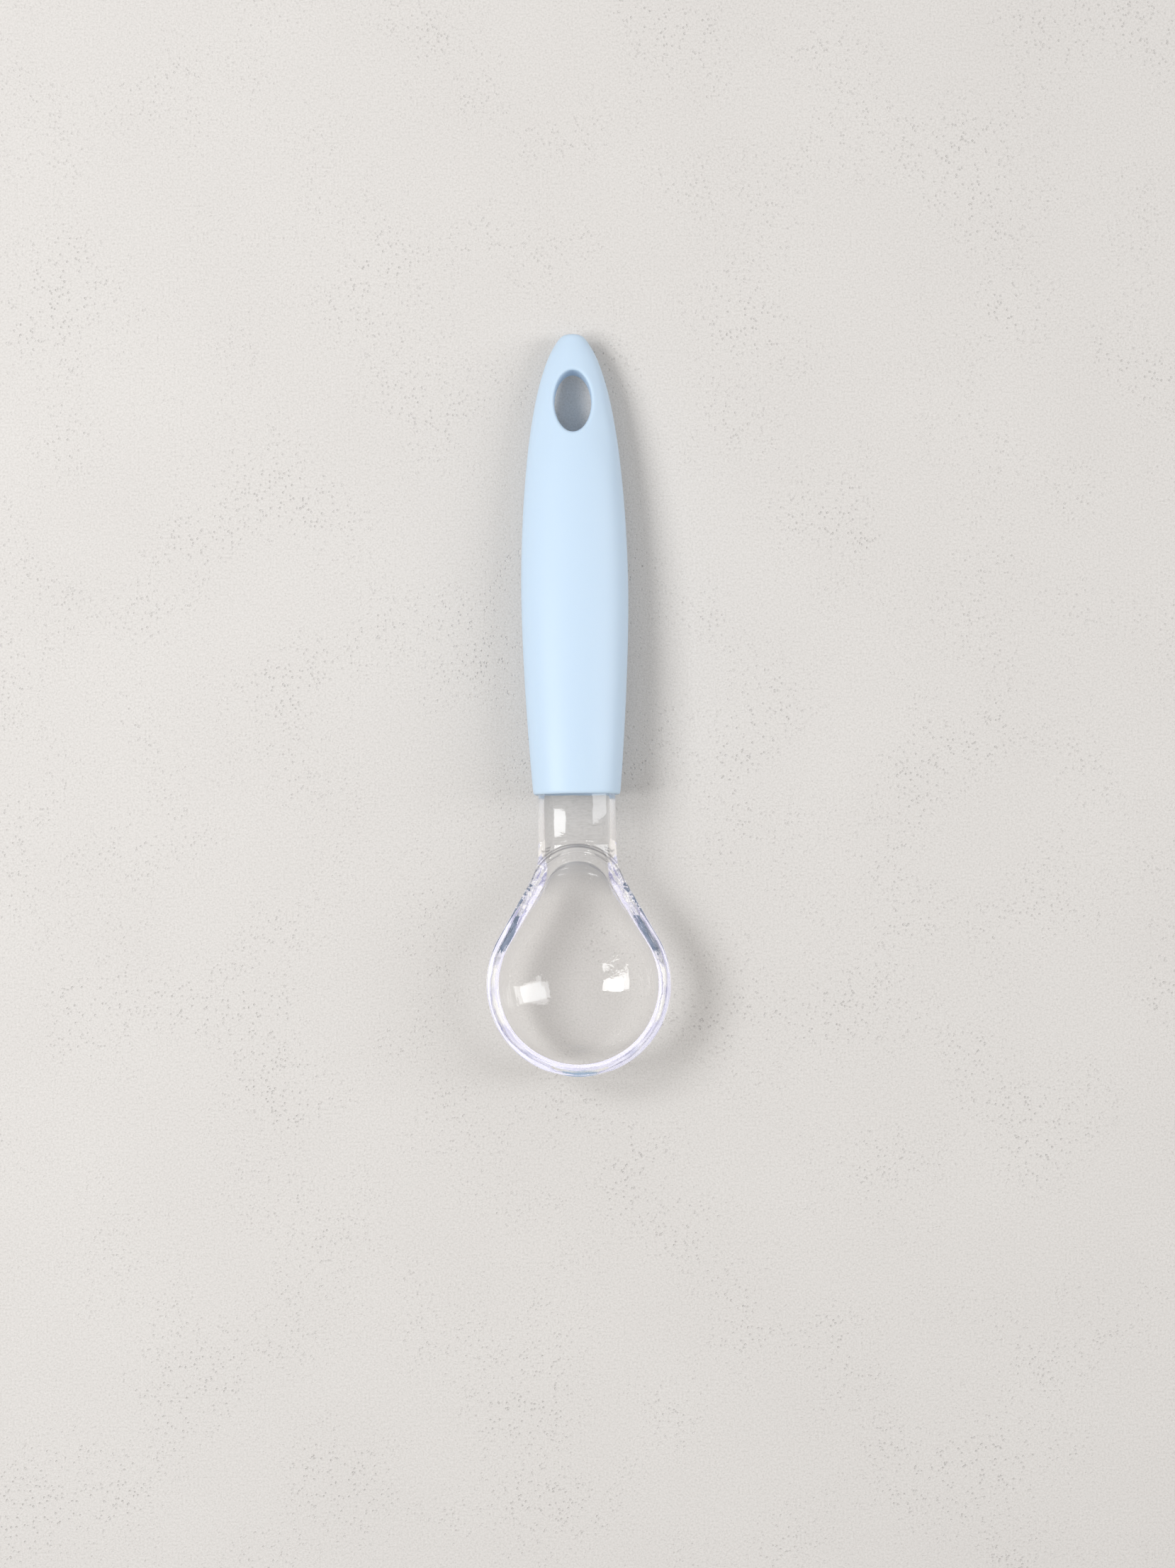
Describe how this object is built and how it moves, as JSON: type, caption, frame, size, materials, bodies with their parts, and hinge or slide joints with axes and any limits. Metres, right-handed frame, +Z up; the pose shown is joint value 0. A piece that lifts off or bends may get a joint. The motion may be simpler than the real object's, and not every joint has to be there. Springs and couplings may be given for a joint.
{
  "type": "ice cream spoon",
  "caption": "Ice cream spoon with a clear plastic scoop, deep and drop-shaped, held by its tang in a tapered light blue handle with an oval hanging hole",
  "frame": {"origin": "on the floor, under the middle of the spoon's length and width as it lies at rest on the bowl's bottom and the handle's underside", "axes": "+X across the bowl, +Y along the spoon towards the tail of the handle with the hanging hole, so the bowl is at -Y, +Z up out of the open side of the bowl"},
  "size_m": [0.0444, 0.1796, 0.0192],
  "materials": {
    "handle": "satin, light blue, solid colour",
    "scoop": "polished, clear and colourless"
  },
  "bodies": {
    "root": {"handle": "handle", "scoop": "scoop"}
  },
  "joints": []
}
